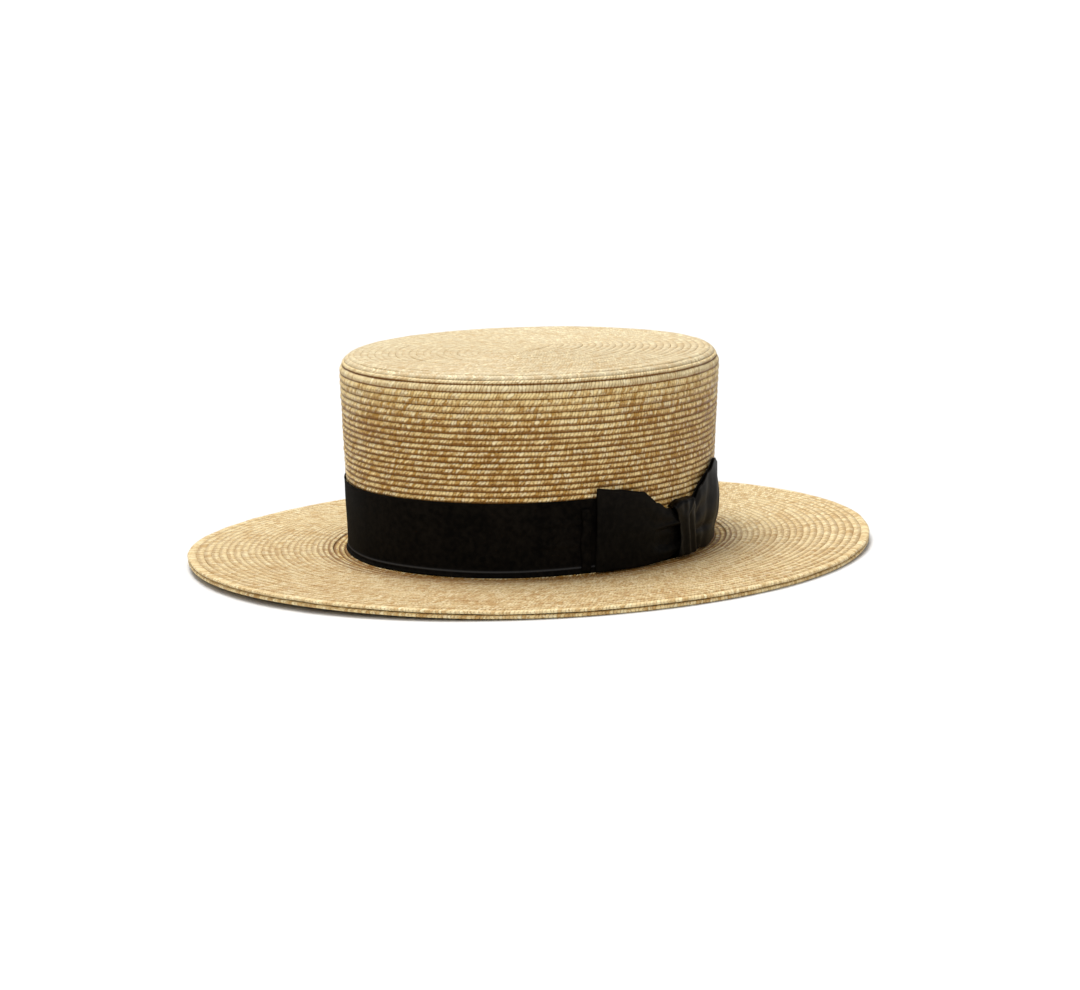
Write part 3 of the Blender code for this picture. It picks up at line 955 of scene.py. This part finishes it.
# Creases pressed into the band ahead of the bow, between these angles in degrees.
# Columns: height and width of the ridge, height and width of the hollow under it, depth of both.
CREASES_START = -58.0
CREASES_EASE = 12.0
CREASES_END = -39.0
BAND_CREASES = (
    (0.0275, 0.0007, 0.0262, 0.0007, 0.0004),
    (0.0175, 0.0008, 0.0160, 0.0009, 0.0005),
)


def band_profile(edge):
    """The band from its top down into the gutter: heights, and how far the ribbon stands proud of its face.

    The edge is the fold along the top of its selvedge strip.
    """
    profile = [(BAND_TOP, 0.0), (BAND_TOP - 0.0004, 0.0001)]
    profile += [(mix(BAND_TOP - 0.0008, edge + 0.0006, i / 30), 0.0) for i in range(31)]
    profile += [(edge + 0.0003, 0.00015), (edge, 0.0003), (edge - 0.0003, 0.0001)]
    profile += [(edge - 0.0005, -0.0001), (mix(edge, BAND_FOOT, 0.6), 0.0)]
    return profile + [(BAND_FOOT - drop, 0.0) for drop in (0.0, 0.0006, 0.0010)]


def band_creases(angle, height):
    """How far the creases ahead of the bow raise the band."""
    degrees = math.degrees(math.remainder(angle, 2 * math.pi))
    if degrees >= CREASES_END:
        return 0.0
    relief = sum(depth * (bump_at(height, ridge, ridge_width) - bump_at(height, hollow, hollow_width))
                 for ridge, ridge_width, hollow, hollow_width, depth in BAND_CREASES)
    return relief * smooth((degrees - CREASES_START) / CREASES_EASE)


class BOATER_OT_hatband(bpy.types.Operator):
    """Wrap the ribbon round the crown's foot, with its lower edge folded and creases at its end"""
    bl_idname = "boater.hatband"
    bl_label = "Hatband"

    def execute(self, context):
        edge = BAND_FOOT + context.scene.boater_ribbon.selvedge
        profile = band_profile(edge)
        points = 512
        grid = []
        for height, proud in profile:
            ring = []
            for i in range(points):
                angle = 2 * math.pi * i / points
                sway = 0.00010 * math.sin(5 * angle + 1.3) + 0.00006 * math.sin(13 * angle + height * 300.0)
                gathered = (band_top(angle) - edge) / (BAND_TOP - edge) if height > edge else 1.0
                level = edge + (height - edge) * gathered
                offset = max(wall_offset(level), fillet_offset(level)) + GAP + RIBBON / 2
                offset += proud + band_creases(angle, height) + sway
                ring.append(on_hat(angle, offset, level + 0.00015 * math.sin(7 * angle)))
            grid.append(ring)
        # Painted highlight along the fold at the top of the selvedge strip
        marks = [bump_at(height, edge, 0.0003) for height, _ in profile]
        look = black_ribbon("band_ribbon")
        band = ribbon_piece("hatband_ribbon", grid, True, look, "band_ribbon", "hatband", marks)
        self.turned_end()
        return {"FINISHED"}

    def turned_end(self):
        """The band's end, folded upright in front of the bow."""
        top = BAND_TOP - BAND_END_INSET
        rows, columns = 24, 16
        grid = []
        for row in range(rows + 1):
            height = mix(BAND_FOOT, top, row / rows)
            pull = 0.0004 * math.sin(row * 0.45)
            ring = []
            for column in range(columns + 1):
                across = column / columns
                rise = BAND_END_RISE * math.sin(math.pi * across) ** 0.4
                rise *= 0.75 + 0.25 * math.sin(math.pi * row / rows) + 0.06 * math.sin(row * 1.3)
                offset = band_face(height) + BAND_FLARE + 0.0003 + rise
                angle = walk((across - 0.5) * BAND_END_WIDTH + pull, BAND_END_ANGLE)
                ring.append(on_hat(angle, offset, height))
            grid.append(ring)
        look = black_ribbon("band_end_ribbon")
        return ribbon_piece("band_end_fold", grid, False, look, "band_ribbon", "band_end")


def wing_point(table, length, side, layer, share, up):
    """A point of a wing. Layer is 0 on the inner layer and 1 on the outer one, up runs from foot to top."""
    top = WING_FOOT + WING_HEIGHT * read_table(table, share, 1)
    foot = WING_FOOT + WING_HEIGHT * read_table(table, share, 2)
    height = mix(foot, top, up)
    inner = band_face(height) + BAND_FLARE + GAP + BOW_WALL / 2
    pleat = PLEAT_DEPTH * (1 - share) ** 2 * math.sin(math.pi * PLEATS * up) ** 2
    outer = band_face(height) + WING_PUFF * read_table(table, share, 3) - BOW_WALL / 2 + pleat
    if side < 0.0:
        outer += front_wing_relief(share, height)
        puff = 1.0
    else:
        outer += back_wing_relief(share, up)
        puff = smooth(1.1 - 1.1 * abs(2.0 * up - 1.0))
    inner -= 0.0006 * share
    outer = max(mix(inner, outer, mix(1.0, puff, share)), inner + 0.0007)
    return on_hat(walk(side * mix(WING_START, length, share)), mix(inner, outer, layer), height)


def front_wing_relief(share, height):
    """The crease from the front wing to the knot, the hollow below it and the swell before the outer fold."""
    near_knot = smooth((0.48 - share) / 0.12)
    hollow = near_knot * smooth((0.0205 - height) / 0.0008) * smooth((height - 0.0085) / 0.004)
    ridge = 0.6 * bump_at(height, 0.0215, 0.0009) * smooth((0.5 - share) / 0.3)
    swell = 0.0004 * bump_at(share, 0.86, 0.045)
    return swell - bpy.context.scene.boater_ribbon.wing_crease * (hollow - ridge)


def back_wing_relief(share, up):
    """The back wing's crumples, each a slanting hump or hollow that fades towards the wing's edges."""
    ridge = 0.0009 * bump_at(share, 0.50 + 0.15 * up, 0.10) * smooth(up * 3) * smooth((1 - up) * 3)
    inner_hollow = 0.0011 * bump_at(share, 0.30 + 0.12 * up, 0.07)
    outer_hollow = 0.0007 * bump_at(share, 0.74 + 0.08 * up, 0.05) * smooth(up * 2)
    long_crease = 0.0011 * bump_at(up, 0.34 - 0.10 * share, 0.05) * smooth((0.75 - share) * 3)
    pinch = 0.0015 * bump_at(share, 0.15, 0.06) * smooth((0.28 - up) * 8)
    return ridge - inner_hollow - outer_hollow - long_crease - pinch


def bow_wing(name, table, length, side):
    """A loop of the bow, from the bow's middle out along the inner layer and back along the outer one."""
    rows, columns = 48, 56
    fold = (WING_PUFF - GAP - BOW_WALL) / 2
    straight = 1.0 - fold / length
    path = [(straight * i / columns, 0.0) for i in range(0, columns + 1, 4)]
    for degrees in range(15, 180, 15):
        turn = math.radians(degrees)
        path.append((straight + (1.0 - straight) * math.sin(turn), 0.5 - 0.5 * math.cos(turn)))
    path += [(straight * i / columns, 1.0) for i in range(columns, -1, -1)]
    grid = [[wing_point(table, length, side, layer, share, row / rows) for share, layer in path]
            for row in range(rows + 1)]
    look = black_ribbon(name + "_ribbon", 0.5, 0.05 if side < 0.0 else 0.10)
    piece = ribbon_piece(name + "_loop", grid, False, look, "bow_ribbon", name)


class BOATER_OT_bow_wings(bpy.types.Operator):
    """Fold the bow's two loops, front and back"""
    bl_idname = "boater.bow_wings"
    bl_label = "Bow Wings"

    def execute(self, context):
        bow_wing("bow_front_wing", FRONT_WING, FRONT_WING_LENGTH, -1.0)
        bow_wing("bow_back_wing", BACK_WING, BACK_WING_LENGTH, 1.0)
        return {"FINISHED"}


def knot_path():
    """The wrap's path up over the bow: shares of the knot's height, and offsets from the band's face."""
    face = WING_PUFF + PLEAT_DEPTH + GAP + 0.0002
    root = BAND_FLARE + GAP + BOW_WALL / 2
    rise = ((0.0, 0.0), (0.0, 0.5), (0.006, 0.8), (0.02, 0.95))
    top = ((0.98, 0.95), (0.994, 0.8), (1.0, 0.5))
    path = [(up, mix(root, face, share)) for up, share in rise]
    path += [(mix(0.04, 0.96, i / 36), face) for i in range(37)]
    path += [(up, mix(root, face, share)) for up, share in top]
    return path + [(1.0, BOW_WALL / 2 - RIBBON)]


def knot_relief(across, up):
    """The knot's gathers: pleats bent by the loops' pull, finer ones, and a slanting fold at the top."""
    bent = across + 0.34 * math.sin(2.6 * up + 0.4)
    pleats = 0.0006 * math.sin(math.pi * 2.7 * (bent + 1) / 2) ** 2 * (0.65 + 0.35 * math.sin(5 * bent + 1.7))
    fine = 0.00035 * math.sin(7.5 * bent + 4.0 * up) * smooth((0.9 - up) * 4)
    slant = 0.0005 * bump_at(across, 0.9 - 3.52 * (1 - up), 0.12) * smooth((up - 0.6) * 5)
    return pleats + fine + slant - 0.0006 * abs(across) ** 3


# How far the knot's front corner hangs down at its top
KNOT_DROOP = 0.0032


class BOATER_OT_bow_knot(bpy.types.Operator):
    """Gather the strip that wraps the bow's middle"""
    bl_idname = "boater.bow_knot"
    bl_label = "Bow Knot"

    def execute(self, context):
        columns = 60
        grid = []
        for up, out in knot_path():
            centre = KNOT_HALF_WIDTH * read_table(KNOT, up, 1)
            half = KNOT_HALF_WIDTH * read_table(KNOT, up, 2)
            ring = []
            for i in range(columns + 1):
                across = 2.0 * i / columns - 1.0
                height = mix(KNOT_FOOT, KNOT_TOP, up) - KNOT_DROOP * smooth(-0.3 - across) * up * up
                offset = band_face(height) + out + knot_relief(across, up)
                ring.append(on_hat(walk(centre + across * half), offset, height))
            grid.append(ring)
        look = black_ribbon("bow_knot_ribbon", 0.42, 0.10)
        piece = ribbon_piece("bow_knot_wrap", grid, False, look, "bow_ribbon", "bow_knot")
        return {"FINISHED"}


# Where the picture is taken from: angles round and above the hat, its own tilt, and the distance in metres
CAMERA_AZIMUTH = math.radians(31.0)
CAMERA_ELEVATION = math.radians(8.398)
CAMERA_ROLL = math.radians(-1.323)
CAMERA_DISTANCE = 1.300
CAMERA_TARGET = Vector((0.0, 0.0, 0.0512))
CAMERA_LENS_MM = 89.26
CAMERA_SHIFT = (0.0093, -0.0494)

# The floor's grey and radius, and the strengths of the light from all round and of the white behind the hat
FLOOR_GREY = 0.69
FLOOR_RADIUS = 40.0
SKY_STRENGTH = 0.36
BACKDROP_STRENGTH = 1.1

# The two lights. Columns: name, share of the camera's right, of its back and of straight up in the direction
# that the light comes from, spread in degrees and strength.
LIGHTS = (
    ("key", -0.16, -0.25, 1.0, 34.0, 3.35),
    ("fill", -0.05, 1.0, 0.55, 50.0, 1.0),
)


def soft_sun(name, towards, spread_degrees, strength):
    """Even light from one direction, as wide as a large soft box."""
    lamp = bpy.data.lights.new(name, "SUN")
    lamp.angle = math.radians(spread_degrees)
    lamp.energy = strength
    thing = bpy.data.objects.new(name, lamp)
    thing.matrix_world = towards.to_track_quat("Z", "Y").to_matrix().to_4x4()
    bpy.context.scene.collection.objects.link(thing)


def camera_frame():
    """The camera's right, up and back directions."""
    back = Vector((math.sin(CAMERA_AZIMUTH) * math.cos(CAMERA_ELEVATION),
                   -math.cos(CAMERA_AZIMUTH) * math.cos(CAMERA_ELEVATION), math.sin(CAMERA_ELEVATION)))
    level = Vector((math.cos(CAMERA_AZIMUTH), math.sin(CAMERA_AZIMUTH), 0.0))
    plumb = back.cross(level)
    right = level * math.cos(CAMERA_ROLL) + plumb * math.sin(CAMERA_ROLL)
    up = plumb * math.cos(CAMERA_ROLL) - level * math.sin(CAMERA_ROLL)
    return right, up, back


class BOATER_OT_stage(bpy.types.Operator):
    """Set the pale floor, the soft light and the camera"""
    bl_idname = "boater.stage"
    bl_label = "Stage"

    def execute(self, context):
        bm = bmesh.new()
        bmesh.ops.create_circle(bm, cap_ends=True, segments=96, radius=FLOOR_RADIUS)
        mesh = bpy.data.meshes.new("floor")
        bm.to_mesh(mesh)
        bm.free()
        floor = bpy.data.objects.new("floor", mesh)
        context.scene.collection.objects.link(floor)
        paper = Shader("pale_floor")
        paper.paint((FLOOR_GREY, FLOOR_GREY, FLOOR_GREY, 1.0), 0.9, 0.1)
        mesh.materials.append(paper.material)

        world = bpy.data.worlds.new("white_room")
        world.use_nodes = True
        room = Nodes(world.node_tree)
        sky = world.node_tree.nodes["Background"]
        backdrop = room.add("ShaderNodeBackground")
        for white, strength in ((sky, SKY_STRENGTH), (backdrop, BACKDROP_STRENGTH)):
            white.inputs["Color"].default_value = (1.0, 1.0, 1.0, 1.0)
            white.inputs["Strength"].default_value = strength
        choice = room.add("ShaderNodeMixShader")
        room.put(choice.inputs[0], room.add("ShaderNodeLightPath").outputs["Is Camera Ray"])
        room.put(choice.inputs[1], sky.outputs[0])
        room.put(choice.inputs[2], backdrop.outputs[0])
        room.put(world.node_tree.nodes["World Output"].inputs["Surface"], choice.outputs[0])
        context.scene.world = world
        context.scene.view_settings.view_transform = "Standard"

        right, up, back = camera_frame()
        camera = bpy.data.cameras.new("camera")
        camera.lens = CAMERA_LENS_MM
        camera.sensor_width = 36.0
        camera.shift_x, camera.shift_y = CAMERA_SHIFT
        camera.clip_start = 0.05
        eye = bpy.data.objects.new("camera", camera)
        eye.matrix_world = Matrix.Translation(CAMERA_TARGET + back * CAMERA_DISTANCE) @ Matrix(
            (right, up, back)).transposed().to_4x4()
        context.scene.collection.objects.link(eye)
        context.scene.camera = eye

        for name, rightwards, backwards, upwards, spread, strength in LIGHTS:
            towards = right * rightwards + back * backwards + Vector((0.0, 0.0, upwards))
            soft_sun(name, towards, spread, strength)
        return {"FINISHED"}


class BOATER_PT_panel(bpy.types.Panel):
    """Lists the hat's pieces and their sizes"""
    bl_idname = "BOATER_PT_panel"
    bl_label = "Straw Boater Hat"
    bl_space_type = "VIEW_3D"
    bl_region_type = "UI"
    bl_category = "Boater"

    def draw(self, context):
        layout = self.layout
        for group in (context.scene.boater_straw, context.scene.boater_ribbon):
            column = layout.column(align=True)
            for key in group.__annotations__:
                column.prop(group, key)
        column = layout.column(align=True)
        for step in STEPS:
            column.operator(step.bl_idname)


STEPS = (
    BOATER_OT_stage,
    BOATER_OT_crown_side,
    BOATER_OT_crown_foot,
    BOATER_OT_shoulder,
    BOATER_OT_tip,
    BOATER_OT_brim,
    BOATER_OT_rim_braid,
    BOATER_OT_hatband,
    BOATER_OT_bow_wings,
    BOATER_OT_bow_knot,
)
CLASSES = (BoaterStraw, BoaterRibbon, *STEPS, BOATER_PT_panel)


def register():
    for kind in CLASSES:
        bpy.utils.register_class(kind)
    bpy.types.Scene.boater_straw = bpy.props.PointerProperty(type=BoaterStraw)
    bpy.types.Scene.boater_ribbon = bpy.props.PointerProperty(type=BoaterRibbon)


def unregister():
    del bpy.types.Scene.boater_ribbon
    del bpy.types.Scene.boater_straw
    for kind in reversed(CLASSES):
        bpy.utils.unregister_class(kind)


def main():
    register()
    for step in STEPS:
        getattr(bpy.ops.boater, step.bl_idname.removeprefix("boater."))()


if __name__ == "__main__":
    main()
